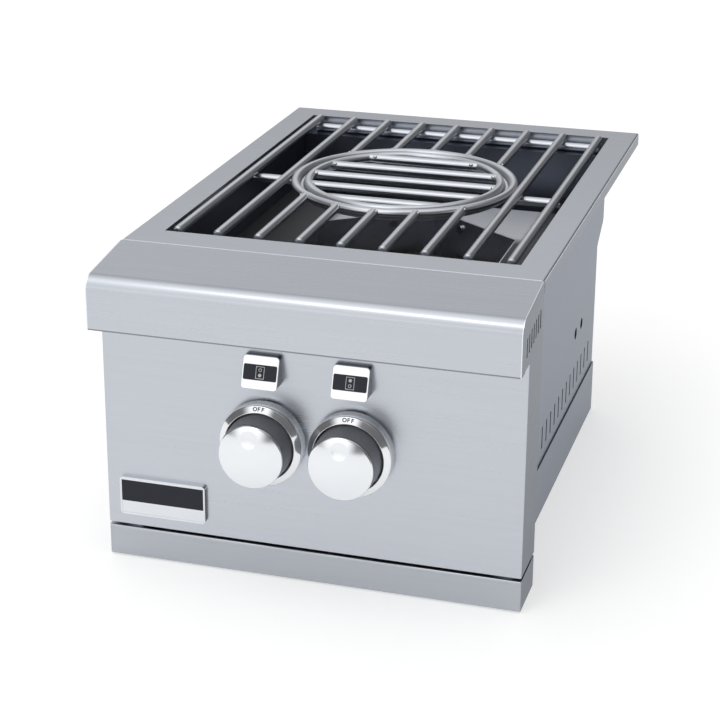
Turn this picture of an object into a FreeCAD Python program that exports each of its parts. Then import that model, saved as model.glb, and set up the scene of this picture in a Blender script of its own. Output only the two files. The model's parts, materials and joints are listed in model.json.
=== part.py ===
"""A built-in gas side burner for an outdoor kitchen: two burners under a drop-in grate, in millimetres.

X points right, Y back and Z up. Y = 0 is the plane of the island's front face, which the back of the
fascia bears on, and Z = 0 is the underside of the base pan.
"""
import FreeCAD, Part
import math
import os
import re

import Sketcher
from FreeCAD import Placement, Rotation, Vector

doc = FreeCAD.newDocument("SideBurner")
sheet = doc.addObject("Spreadsheet::Sheet", "Sizes")
nodes = []

SIZES = dict(
    # Sheets, and the gaps between sheets that are joined and pieces that lie loosely on each other
    skin=1.2, wall=1.0, seam=0.1, play=0.3, weld=0.1,
    # Top trim and its opening
    trim_wide=356, trim_rear=468, top_z=267.5, fold_y=-3.5, edge_round=2.0,
    opening_wide=305, opening_front=30.5, opening_rear=440,
    lip_drop=13.1, flange_drop=11.4, flange_front=1.0, hem=10,
    # Bullnose
    nose_y=-78, nose_top=258.3, nose_low=214.2, nose_round=12.5, nose_return=12,
    # Control panel
    panel_y=-50, panel_low=31.4, panel_top=240, corner_round=1.5, panel_return=14,
    cheek_slot_wide=3.4, cheek_slot_tall=15.6, cheek_slot_pitch=8.2, cheek_slot_y=-60.5, cheek_slot_z=233,
    # Burner box
    body_half=155, wall_front=-47, wall_rear=418, wall_low_rear=389,
    step_low=172, step_high=190, front_high=250, front_slope_y=12, rear_flange=12, front_flange=14,
    air_slot_y=117.5, air_slot_pitch=18.5, air_slot_low=62, air_slot_tall=21, air_slot_wide=4,
    service_y=287, service_pitch=29.3, service_z=117, service_radius=5.5,
    ledge_wide=28, firewall_y=52, firewall_low=56, hole_gap=1.0,
    vent_pitch=20, vent_wide=4, vent_low=120, vent_tall=30,
    box_screw_in=7, box_screw_r=2.0, box_screw_head=3.6, box_screw_tall=2.2, box_screw_long=6,
    box_screw_low=72, box_screw_mid=141, box_screw_high=215,
    pan_front=-10, pan_side=50.6,
    # Burner deck and wind shield
    deck_z=207, deck_rear=370, deck_turn=14, deck_side=10,
    shield_half=97, shield_apex=112, shield_shoulder=42, shield_low=118, notch_gap=1.5,
    tie_z=9, tie_x=34, tie_r=2.0, tie_head=3.8, tie_long=6, tie_head_tall=2,
    # Burners on their rails
    rail_half=10, rail_low=98, rail_top=110, burner_apart=104, neck_r=15,
    neck_screw=2.5, neck_screw_head=4.5, neck_screw_tall=3, neck_screw_long=10,
    bowl_wall=3, bowl_r=36, bowl_base=138, bowl_flare=148, bowl_rim=156,
    head_r=37, head_wall=5, head_tall=9, port_wide=1.8, port_tall=4.5, port_low=2.2,
    cap_r=38.5, cap_tall=5, cap_edge=2, spigot_r=31.5, spigot_tall=3,
    # Mixing tubes and air shutters
    mixer_r=11, mixer_wall=1.5, mixer_mouth=18, mixer_turn=70, mixer_bend=45,
    window_front=21, window_rear=33, window_half=7,
    shutter_fit=0.08, shutter_wall=1.4, shutter_front=6, shutter_rear=38, shutter_eye=5.4,
    # Gas train
    manifold_y=-18, manifold_left=-75, pipe_x=120, pipe_z=84, pipe_r=10.65, pipe_wall=2.2,
    elbow_r=13.5, elbow_long=9, plug_r=13, plug_long=12,
    inlet_r=10.65, inlet_long=19, inlet_hex=14, inlet_hex_long=12, inlet_bore=7.5,
    # Valves
    valve_r=11, valve_rear=-4, valve_flange=3, valve_flange_half=24, valve_flange_up=9, tap_r=6,
    plug_turn_r=5.45, turn_fit=0.05, plug_front=-46, plug_rear=-10,
    stem_r=3.0, stem_fit=0.05, stem_rear=-26, push=3.0,
    spud_r=5, spud_tip=3, spud_bore=0.9, spud_hex_rear=8, spud_rear=15,
    # Bezels and knobs
    knob_x=37.5, knob_z=124, stem_hole=9.5, screw_out=17, screw_shank=1.9, screw_fit=0.1,
    screw_head=3.6, screw_sink=2.0,
    bezel_r=35, bezel_face_r=34.4, bezel_face=9.6, bezel_dish_r=29.8, bezel_lip=15, bezel_floor=3, bezel_rim=0.6,
    knob_base=7.5, grip_base_r=28.2, grip_front_r=27.2, grip_reach=33, grip_wall=3, hub_r=7, hub_fit=0.02,
    disc_r=27, disc_reach=41, disc_round=3, disc_crown=1.0, dimple_up=17.6, dimple_r=14.6, dimple_deep=2.2,
    # Labels and badge
    label_low=174, label_tall=25.5, label_half=15.2, label_foot=14, label_head=5, label_round=2.5,
    band_half=13.4, band_tall=12.5, band_deep=0.8, band_thick=0.7,
    badge_in=12.5, badge_z=59, badge_half=38, badge_up=17, badge_thick=3.6, badge_round=3.4,
    badge_rim=1.6, badge_head=2.6, badge_field=19, badge_deep=0.7,
    # Drip tray
    strip_low=1.0, strip_top=28.4, strip_return=9, strip_round=2.0, strip_rear=-0.5,
    tray_half=147, tray_rim=5.2, tray_rear=368, tray_low=8, tray_top=26, runner_wide=5.4, runner_tall=14,
    tray_screw_in=27, tray_screw_z=16,
    # Grates
    bar_r=4, bar_rise=-1.0, bar_inset=9.3, bar_front=34.8, bar_rear=435.7, bar_round=1.6,
    cross_front=40.5, cross_rear=430, cross_over=2, stub_in=98.5,
    ring_r=99.3, seat_r=93.5, seat_tube=3.5, centre_r=87.3, centre_pitch=34.5,
    # Igniter, its electrodes and leads
    electrode_x=46, ceramic_r=3.4, ceramic_low=104, ceramic_top=146, tip_r=1.1, tip_low=100, tip_top=164,
    foot_half=8, foot_tall=1.5, lead_r=1.6, lead_z=90, lead_bend=6, lead_front=32, lead_rear=42,
    igniter_in=15, igniter_wide=40, igniter_front=14, igniter_low=76, igniter_top=106,
    igniter_round=3, igniter_nut=9, igniter_nut_long=5,
)
CHEEK_SLOTS, AIR_SLOTS, VENTS, PORTS = 7, 14, 9, 24
for row, (alias, number) in enumerate(SIZES.items(), 1):
    sheet.set("A%d" % row, str(number))
    sheet.setAlias("A%d" % row, alias)
sheet.recompute()


def link(text):
    """An expression in aliases, written so that any object can use it."""
    return re.sub(r"[A-Za-z_][A-Za-z_0-9]*", lambda m: "Sizes." + m[0] if m[0] in SIZES else m[0], text)


def value(text):
    """The number that an expression in aliases gives."""
    return float(sheet.evalExpression(text))


def node(made, name):
    """Name a finished sub-part and keep it for writing."""
    made.Label = name
    nodes.append(made)
    return made


def side(sign, near, far):
    """The X span from near to far on the left (-1) or the right (1)."""
    if sign > 0:
        return (near, far)
    return ("-(%s)" % far, "-(%s)" % near)


def even(half):
    """A span that reaches as far to each side of zero."""
    return ("-(%s)" % half, half)


def around(middle, half):
    """A span that reaches as far to each side of a middle."""
    return ("(%s) - (%s)" % (middle, half), "(%s) + (%s)" % (middle, half))


def move(made, x="0", y="0", z="0"):
    """Bind an object's place to expressions."""
    for axis, text in zip("xyz", (x, y, z)):
        made.setExpression("Placement.Base." + axis, link(text))
    return made


def box(label, x, y, z):
    """A box between three pairs of coordinates."""
    made = doc.addObject("Part::Box", label)
    for prop, (low, high) in zip(("Length", "Width", "Height"), (x, y, z)):
        made.setExpression(prop, link("(%s) - (%s)" % (high, low)))
    return move(made, x[0], y[0], z[0])


TURNS = {"x": Rotation(Vector(0, 1, 0), 90), "y": Rotation(Vector(1, 0, 0), -90), "z": Rotation()}


def rod(label, radius, along, span, at):
    """A cylinder along one axis, with its other two coordinates given by at."""
    made = doc.addObject("Part::Cylinder", label)
    made.Placement.Rotation = TURNS[along]
    made.setExpression("Radius", link(radius))
    made.setExpression("Height", link("(%s) - (%s)" % (span[1], span[0])))
    place = dict(zip([axis for axis in "xyz" if axis != along], at))
    place[along] = span[0]
    return move(made, **place)


def ring(label, radius, tube, at):
    """A round bar bent into a flat ring."""
    made = doc.addObject("Part::Torus", label)
    made.setExpression("Radius1", link(radius))
    made.setExpression("Radius2", link(tube))
    return move(made, *at)


def join(label, shapes):
    """One solid of several that touch."""
    made = doc.addObject("Part::MultiFuse", label)
    made.Shapes = shapes
    made.Refine = True
    return made


def group(label, shapes):
    """Separate solids kept together as one sub-part."""
    made = doc.addObject("Part::Compound", label)
    made.Links = shapes
    return made


def cut(label, base, tools):
    """The base with the tools taken out."""
    made = doc.addObject("Part::Cut", label)
    made.Base = base
    made.Tool = tools[0] if len(tools) == 1 else join(label + "_tools", tools)
    made.Refine = True
    return made


def rounded(label, base, radius, pick):
    """The base with the edges that pick chooses rounded."""
    doc.recompute()
    made = doc.addObject("Part::Fillet", label)
    made.Base = base
    size = value(radius)
    made.Edges = [(i + 1, size, size) for i, edge in enumerate(base.Shape.Edges) if pick(edge)]
    return made


def ends(edge):
    """The two end points of an edge."""
    return edge.Vertexes[0].Point, edge.Vertexes[-1].Point


def runs_along(edge, axis):
    """Whether a straight edge lies along x, y or z."""
    if edge.Curve.TypeId != "Part::GeomLine":
        return False
    first, last = ends(edge)
    step = last - first
    return abs(getattr(step, axis)) > 0.999 * step.Length


def near(a, text):
    """Whether a coordinate is where an expression says."""
    return abs(a - value(text)) < 0.01


def plane_of(body, role):
    """A body's own origin plane."""
    return next(f for f in body.Origin.OriginFeatures if f.Role == role)


def sketch(body, role, offset, points):
    """A closed outline of straight lines, each corner bound to a pair of expressions."""
    made = body.newObject("Sketcher::SketchObject", body.Name + "_outline")
    made.AttachmentSupport = [(plane_of(body, role), "")]
    made.MapMode = "FlatFace"
    made.setExpression("AttachmentOffset.Base.z", link(offset))
    corners = [Vector(value(u), value(v), 0) for u, v in points]
    for i, corner in enumerate(corners):
        made.addGeometry(Part.LineSegment(corner, corners[(i + 1) % len(corners)]), False)
    for i in range(len(corners)):
        made.addConstraint(Sketcher.Constraint("Coincident", i, 2, (i + 1) % len(corners), 1))
    for i, texts in enumerate(points):
        for kind, text in zip(("DistanceX", "DistanceY"), texts):
            n = made.addConstraint(Sketcher.Constraint(kind, -1, 1, i, 1, value(text)))
            made.setExpression("Constraints[%d]" % n, link(text))
    return made


def prism(label, role, points, span):
    """A body whose outline in one origin plane is padded along the third axis over span."""
    made = doc.addObject("PartDesign::Body", label)
    start = "-(%s)" % span[1] if role == "XZ_Plane" else span[0]
    outline = sketch(made, role, start, points)
    pad = made.newObject("PartDesign::Pad", label + "_pad")
    pad.Profile = outline
    pad.setExpression("Length", link("(%s) - (%s)" % (span[1], span[0])))
    return made


def turned(label, role, points):
    """A body of revolution: (radius, height) corners about Z, in XZ_Plane, or about Y, in XY_Plane."""
    made = doc.addObject("PartDesign::Body", label)
    outline = sketch(made, role, "0", points)
    spin = made.newObject("PartDesign::Revolution", label + "_turned")
    spin.Profile = outline
    spin.ReferenceAxis = (outline, ["V_Axis"])
    spin.Angle = 360
    return made


def hollow(body, role, offset, points, depth, count=1, pitch="0"):
    """Cut an outline out of a body both ways along the plane's normal, repeated along the outline's X."""
    outline = sketch(body, role, offset, points)
    made = body.newObject("PartDesign::Pocket", body.Name + "_hollow")
    made.Profile = outline
    made.Midplane = True
    made.setExpression("Length", link(depth))
    if count > 1:
        doc.recompute()
        row = body.newObject("PartDesign::LinearPattern", body.Name + "_row")
        row.Originals = [made]
        row.Direction = (outline, ["H_Axis"])
        row.Occurrences = count
        row.setExpression("Length", link("%d*(%s)" % (count - 1, pitch)))
        body.Tip = row
    return made


def bent(label, radius, points, bend):
    """A round bar through points, straight but for an arc at each inner point."""
    path = []
    corners = [Vector(*[value(text) for text in point]) for point in points]
    bend = value(bend)
    start = corners[0]
    for i in range(1, len(corners) - 1):
        before = (corners[i - 1] - corners[i]).normalize()
        after = (corners[i + 1] - corners[i]).normalize()
        half = before.getAngle(after) / 2
        reach = bend / math.tan(half)
        middle = (before + after).normalize() * (bend / math.sin(half) - bend)
        first = corners[i] + before * reach
        last = corners[i] + after * reach
        path.append(Part.LineSegment(start, first).toShape())
        path.append(Part.Arc(first, corners[i] + middle, last).toShape())
        start = last
    path.append(Part.LineSegment(start, corners[-1]).toShape())
    round_end = Part.Wire(Part.Circle(corners[0], corners[1] - corners[0], value(radius)).toShape())
    made = doc.addObject("Part::Feature", label)
    made.Shape = Part.Wire(path).makePipeShell([round_end], True, False)
    return made


HALF = "trim_wide/2"
HEM_Z = "top_z - flange_drop"

# Top trim: a flat frame with a down-turned flange, its hem, and a lip round the opening
plate = box("trim_block", even(HALF), ("fold_y", "trim_rear"), (HEM_Z, "top_z"))
plate = rounded("trim_bent", plate, "edge_round", lambda e: not near(e.CenterOfMass.y, "fold_y")
                and not near(e.CenterOfMass.z, HEM_Z)
                and not (runs_along(e, "z") and e.CenterOfMass.y < value("trim_rear/2")))
under = box("trim_under", even(HALF + " - skin"), ("fold_y - skin", "trim_rear - skin"),
            (HEM_Z + " + skin", "top_z - skin"))
inside_hem = box("trim_inside_hem", even(HALF + " - hem"), ("fold_y - skin", "trim_rear - hem"),
                 (HEM_Z + " - skin", "top_z - skin"))
flange_end = box("trim_flange_end", even(HALF + " + skin"), ("fold_y - skin", "flange_front"),
                 (HEM_Z + " - skin", "top_z - skin"))
pan = cut("trim_sheet", plate, [under, inside_hem, flange_end])
lip = box("trim_lip", even("opening_wide/2 + skin"), ("opening_front - skin", "opening_rear + skin"),
          ("top_z - lip_drop", "top_z - skin/2"))
opening = box("trim_opening", even("opening_wide/2"), ("opening_front", "opening_rear"),
              ("top_z - 2*lip_drop", "top_z + skin"))
node(cut("top_trim_cut", join("trim_and_lip", [pan, lip]), [opening]), "top_trim")

# Bullnose: the sheet that slopes down from the trim and rolls over the top of the fascia
SLOPE = "((top_z - nose_top)/(fold_y - nose_y))"


def nose_corner(e, y):
    return runs_along(e, "x") and near(e.CenterOfMass.y, y) and e.CenterOfMass.z > value("nose_low + nose_round")


outer = prism("nose_outer", "YZ_Plane", [
    ("nose_y", "nose_low"), ("fold_y - seam", "nose_low"), ("fold_y - seam", "top_z - seam*%s" % SLOPE),
    ("nose_y", "nose_top")], even(HALF))
outer = rounded("nose_rolled", outer, "nose_round", lambda e: nose_corner(e, "nose_y"))
inner = prism("nose_inner", "YZ_Plane", [
    ("nose_y + skin", "nose_low + skin"), ("nose_y + skin + nose_return", "nose_low + skin"),
    ("nose_y + skin + nose_return", "nose_low - skin"), ("skin", "nose_low - skin"),
    ("skin", "top_z - skin + (skin - fold_y)*%s" % SLOPE),
    ("nose_y + skin", "nose_top - skin + skin*%s" % SLOPE)], even(HALF + " + skin"))
inner = rounded("nose_inner_rolled", inner, "nose_round - skin", lambda e: nose_corner(e, "nose_y + skin"))
node(cut("nose_sheet", outer, [inner]), "bullnose")

# Control panel: one sheet bent back into two cheeks that close the sides of the bullnose
cheek_in = HALF + " - skin"
bend_line = ("nose_y + skin + seam", "nose_top - skin - seam + (skin + seam)*%s" % SLOPE)
folded = prism("panel_block", "YZ_Plane", [
    ("panel_y", "panel_low"), ("0", "panel_low"), ("0", HEM_Z + " - play"), ("-play", HEM_Z + " - play"),
    ("-play", "top_z - skin - seam"),
    ("fold_y", "top_z - skin - seam"), bend_line, ("nose_y + skin + seam", "nose_low + skin + seam"),
    ("panel_y", "nose_low + skin + seam")], even(HALF))
folded = rounded("panel_bent", folded, "corner_round",
                 lambda e: runs_along(e, "z") and near(e.CenterOfMass.y, "panel_y"))
folded = rounded("panel_nose", folded, "nose_round - skin",
                 lambda e: nose_corner(e, "nose_y + skin + seam"))
behind = box("panel_behind", even(cheek_in), ("panel_y + skin", "-skin"), ("panel_low + skin", "top_z"))
below = box("panel_below", even(cheek_in), ("panel_y + skin + panel_return", "-skin"),
            ("panel_low - skin", "panel_low + 2*skin"))
above = box("panel_above", even(cheek_in), ("nose_y", "panel_y"), ("nose_low", "top_z"))
over = box("panel_over", even(cheek_in), ("nose_y", "-skin"), ("panel_top", "top_z"))
back = box("panel_back", even("body_half + 2*seam + skin"), ("-2*skin", "skin"), ("panel_low - skin", "top_z"))
slots = []
for i in range(CHEEK_SLOTS):
    y = "cheek_slot_y + %d*cheek_slot_pitch" % i
    z = "cheek_slot_z + %d*cheek_slot_pitch*%s" % (i, SLOPE)
    slots.append(box("cheek_slot_%d" % i, even(HALF + " + skin"), around(y, "cheek_slot_wide/2"),
                     around(z, "cheek_slot_tall/2")))
SIDES = (("front", -1), ("rear", 1))
holes = []
for name, sign in SIDES:
    x = "%d*knob_x" % sign
    holes.append(rod("panel_hole_" + name, "stem_hole", "y", ("panel_y - skin", "panel_y + 2*skin"), (x, "knob_z")))
    for way in (-1, 1):
        holes.append(rod("panel_screw_hole_%s_%d" % (name, way), "screw_shank + screw_fit", "y",
                         ("panel_y - skin", "panel_y + 2*skin"), (x + " + %d*screw_out" % way, "knob_z")))
node(cut("panel_sheet", folded, [behind, below, above, over, back] + slots + holes), "control_panel")

# Burner box: side walls with a row of air slots, two service holes and an in-turned rear flange
FLOOR = "skin + seam"
WALL_TOP = "top_z - skin - seam"
BOX_SCREWS = [("box_screw_low", "wall_low_rear"), ("box_screw_mid", "wall_low_rear"),
              ("box_screw_high", "wall_rear")]
FOOT_Y = "panel_y + skin + panel_return + play"
FOOT_Z = "panel_low + skin + play"
for name, sign in (("left", -1), ("right", 1)):
    wall = prism("side_%s" % name, "YZ_Plane", [
        (FOOT_Y, FLOOR), ("wall_low_rear - wall - seam", FLOOR),
        ("wall_low_rear - wall - seam", "step_low + wall/2 + seam"),
        ("wall_rear - wall - seam", "step_high + wall/2 + seam"),
        ("wall_rear - wall - seam", WALL_TOP), ("front_slope_y", WALL_TOP), ("wall_front", "front_high"),
        ("wall_front", FOOT_Z), (FOOT_Y, FOOT_Z)],
        side(sign, "body_half - wall", "body_half"))
    hollow(wall, "YZ_Plane", "%d*body_half" % sign, [
        ("air_slot_y", "air_slot_low"), ("air_slot_y + air_slot_wide", "air_slot_low"),
        ("air_slot_y + air_slot_wide", "air_slot_low + air_slot_tall"),
        ("air_slot_y", "air_slot_low + air_slot_tall")], "4*wall", AIR_SLOTS, "air_slot_pitch")
    flange_x = side(sign, "body_half - rear_flange", "body_half - wall/2")
    low_flange = box("side_%s_low_flange" % name, flange_x,
                     ("wall_low_rear - 2*wall - seam", "wall_low_rear - wall - seam"), (FLOOR, "step_low - wall"))
    high_flange = box("side_%s_high_flange" % name, flange_x, ("wall_rear - 2*wall - seam", "wall_rear - wall - seam"),
                      ("step_high + wall", "step_high + 45"))
    front = box("side_%s_front_flange" % name, side(sign, "body_half - wall/2", "body_half + front_flange"),
                ("panel_y + skin + seam", "panel_y + skin + seam + wall"), (FOOT_Z, "panel_top"))
    neck = box("side_%s_front_neck" % name, side(sign, "body_half - wall", "body_half"),
               ("panel_y + skin + seam", "wall_front + wall"), (FOOT_Z, "panel_top"))
    punched = [rod("side_%s_service_%d" % (name, i), "service_radius", "x",
                   side(sign, "body_half - 2*wall", "body_half + wall"),
                   ("service_y + %d*service_pitch" % i, "service_z")) for i in range(2)]
    punched += [rod("side_%s_screw_hole_%d" % (name, i), "box_screw_r + seam", "y", (y + " - 5*wall", y),
                    ("%d*(body_half - box_screw_in)" % sign, z)) for i, (z, y) in enumerate(BOX_SCREWS)]
    sheet_metal = join("side_%s_sheet" % name, [wall, low_flange, high_flange, front, neck])
    node(cut("side_%s_punched" % name, sheet_metal, punched), "side_wall_" + name)

# Front and rear walls: each ends at the top in a ledge that the grate's cross rods rest on
BAR_Z = "top_z + bar_rise"
LEDGE = "%s - 3*bar_r - play" % BAR_Z
BOX_IN = "body_half - wall - seam"
rear_wall = prism("rear_sheet", "YZ_Plane", [
    ("wall_low_rear", FLOOR), ("wall_low_rear", "step_low"), ("wall_rear", "step_high"),
    ("wall_rear", LEDGE + " - wall"), ("wall_rear + ledge_wide", LEDGE + " - wall"),
    ("wall_rear + ledge_wide", WALL_TOP), ("wall_rear + ledge_wide - wall", WALL_TOP),
    ("wall_rear + ledge_wide - wall", LEDGE), ("wall_rear - wall", LEDGE),
    ("wall_rear - wall", "step_high + wall/2"), ("wall_low_rear - wall", "step_low + wall/2"),
    ("wall_low_rear - wall", FLOOR)], even(BOX_IN + " + wall"))
rear_cuts = [rod("rear_pipe_hole", "pipe_r + hole_gap", "y", ("wall_low_rear - 2*wall", "wall_low_rear + wall"),
                 ("pipe_x", "pipe_z"))]
for i in range(VENTS):
    x = "vent_pitch*%d" % (i - VENTS // 2)
    rear_cuts.append(box("rear_vent_%d" % i, around(x, "vent_wide/2"),
                         ("wall_low_rear - 2*wall", "wall_low_rear + wall"), ("vent_low", "vent_low + vent_tall")))
box_screws = []
for i, (z, y) in enumerate(BOX_SCREWS):
    for sign in (-1, 1):
        x = "%d*(body_half - box_screw_in)" % sign
        shank = rod("box_screw_shank_%d_%d" % (i, sign), "box_screw_r", "y", (y + " - box_screw_long", y), (x, z))
        head = rod("box_screw_head_%d_%d" % (i, sign), "box_screw_head", "y", (y, y + " + box_screw_tall"), (x, z))
        box_screws.append(join("box_screw_%d_%d" % (i, sign), [shank, head]))
        rear_cuts.append(rod("box_screw_hole_%d_%d" % (i, sign), "box_screw_r + seam", "y",
                             (y + " - 2*wall", y + " + wall"), (x, z)))
node(cut("rear_wall_cut", rear_wall, rear_cuts), "rear_wall")
node(group("box_screws", box_screws), "box_screws")

front_wall = prism("firewall_sheet", "YZ_Plane", [
    ("firewall_y", "firewall_low"), ("firewall_y", LEDGE + " - wall"),
    ("firewall_y - ledge_wide", LEDGE + " - wall"), ("firewall_y - ledge_wide", WALL_TOP),
    ("firewall_y - ledge_wide + wall", WALL_TOP), ("firewall_y - ledge_wide + wall", LEDGE),
    ("firewall_y + wall", LEDGE), ("firewall_y + wall", "firewall_low")], even(BOX_IN))
wall_holes = [rod("firewall_mixer_%s" % name, "mixer_r + hole_gap", "y", ("firewall_y - wall", "firewall_y + 2*wall"),
                  ("%d*knob_x" % sign, "knob_z")) for name, sign in SIDES]
wall_holes += [rod("firewall_lead_%s" % name, "lead_r + hole_gap", "y", ("firewall_y - wall", "firewall_y + 2*wall"),
                   ("%d*electrode_x" % sign, "lead_z")) for name, sign in SIDES]
wall_holes.append(rod("firewall_pipe", "pipe_r + hole_gap", "y", ("firewall_y - wall", "firewall_y + 2*wall"),
                      ("pipe_x", "pipe_z")))
node(cut("firewall_cut", front_wall, wall_holes), "front_wall")

# Base pan: the floor and the band round the foot of the burner box
PAN_IN = "body_half + seam"
pan_block = box("pan_block", even(PAN_IN + " + skin"), ("pan_front", "wall_low_rear + seam + skin"),
                ("0", "pan_side"))
pan_room = box("pan_room", even(PAN_IN), ("pan_front - skin", "wall_low_rear + seam"), ("skin", "pan_side + skin"))
node(cut("pan_sheet", pan_block, [pan_room]), "base_pan")

# Burner deck: a shelf with a six-sided hole whose edge is turned down
GRATE_Y = "(opening_front + opening_rear)/2"


def hexagon(grow):
    """Six corners of the wind shield's plan, grown outwards."""
    half = "(shield_half + %s)" % grow
    apex = "(shield_apex + 1.2*%s)" % grow
    shoulder = "(shield_shoulder + 0.5*%s)" % grow
    return [(half, GRATE_Y + " - " + shoulder), (half, GRATE_Y + " + " + shoulder), ("0", GRATE_Y + " + " + apex),
            ("-" + half, GRATE_Y + " + " + shoulder), ("-" + half, GRATE_Y + " - " + shoulder),
            ("0", GRATE_Y + " - " + apex)]


shelf = box("deck_block", even(BOX_IN), ("firewall_y + wall + seam", "deck_rear"), ("deck_z - deck_side", "deck_z"))
shelf_room = box("deck_room", even(BOX_IN + " - wall"), ("firewall_y + 2*wall + seam", "deck_rear - wall"),
                 ("deck_z - 2*deck_side", "deck_z - wall"))
turned_edge = prism("deck_edge", "XY_Plane", hexagon("wall + seam"), ("deck_z - deck_turn", "deck_z - wall/2"))
deck_hole = prism("deck_hole", "XY_Plane", hexagon("seam"), ("deck_z - 2*deck_turn", "deck_z + wall"))
deck_sheet = join("deck_and_edge", [cut("deck_shelf", shelf, [shelf_room]), turned_edge])
deck_cut = cut("deck_cut", deck_sheet, [deck_hole])

# Wind shield: the six-sided sleeve that hangs in the deck and stands round both burners
sleeve = prism("shield_outer", "XY_Plane", hexagon("0"), ("shield_low", "deck_z - seam"))
sleeve_room = prism("shield_inner", "XY_Plane", hexagon("(-wall)"), ("shield_low - wall", "deck_z + wall"))
BURNER_Y = {"front": GRATE_Y + " - burner_apart/2", "rear": GRATE_Y + " + burner_apart/2"}


def gas_route(name, sign):
    """The line of a mixing tube, from its mouth behind the valve to the middle of its burner."""
    x, y = "%d*knob_x" % sign, BURNER_Y[name]
    return [(x, "mixer_mouth", "knob_z"), (x, y + " - mixer_turn", "knob_z"), ("0", y, "knob_z")]


notches = [bent("shield_notch_" + name, "mixer_r + notch_gap", gas_route(name, sign), "mixer_bend")
           for name, sign in SIDES]
shield_cut = cut("shield_cut", sleeve, [sleeve_room] + notches)
# Tie screws go square through each slanted face, from the inside of the shield out through the deck's edge
face_turn = math.degrees(math.atan2(value("shield_apex - shield_shoulder"), value("shield_half")))
face_drop = value("tie_x*(shield_apex - shield_shoulder)/shield_half")
ties, tie_holes = [], []
for back_sign in (-1, 1):
    for side_sign in (-1, 1):
        at = Vector(side_sign * value("tie_x"), value(GRATE_Y) + back_sign * (value("shield_apex") - face_drop),
                    value("deck_z - tie_z"))
        out = Vector(side_sign * math.sin(math.radians(face_turn)), back_sign * math.cos(math.radians(face_turn)), 0)
        tag = "%d_%d" % (back_sign, side_sign)
        parts = []
        for kind, radius, long, start in (("shank", "tie_r", "tie_long", "-1.2*wall"),
                                          ("head", "tie_head", "tie_head_tall", "-(1.2*wall + tie_head_tall)"),
                                          ("drill", "tie_r + seam", "3*tie_long", "-tie_long")):
            made = doc.addObject("Part::Cylinder", "tie_%s_%s" % (kind, tag))
            made.setExpression("Radius", link(radius))
            made.setExpression("Height", link(long))
            made.Placement = Placement(at + out * value(start), Rotation(Vector(0, 0, 1), out))
            parts.append(made)
        ties.append(join("tie_screw_" + tag, parts[:2]))
        tie_holes.append(parts[2])
node(cut("deck_drilled", deck_cut, tie_holes), "burner_deck")
node(cut("shield_drilled", shield_cut, tie_holes), "wind_shield")
node(group("shield_screws", ties), "shield_screws")

# Burner rails: two channels across the box that carry the burners
rails = []
for name, sign in SIDES:
    y = BURNER_Y[name]
    solid = box("rail_block_" + name, even(BOX_IN), around(y, "rail_half"), ("rail_low", "rail_top"))
    room = box("rail_room_" + name, even("body_half"), around(y, "rail_half - wall"),
               ("rail_low - wall", "rail_top - wall"))
    drills = [rod("rail_%s_hole_%s" % (kind, name), radius, "z", ("rail_top - 2*wall", "rail_top + wall"), (x, y))
              for kind, radius, x in (("neck", "neck_screw + seam", "0"),
                                      ("ceramic", "ceramic_r + seam", "%d*electrode_x" % sign))]
    rails.append(cut("rail_" + name, solid, [room] + drills))
node(group("burner_rails", rails), "burner_rails")

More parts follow.
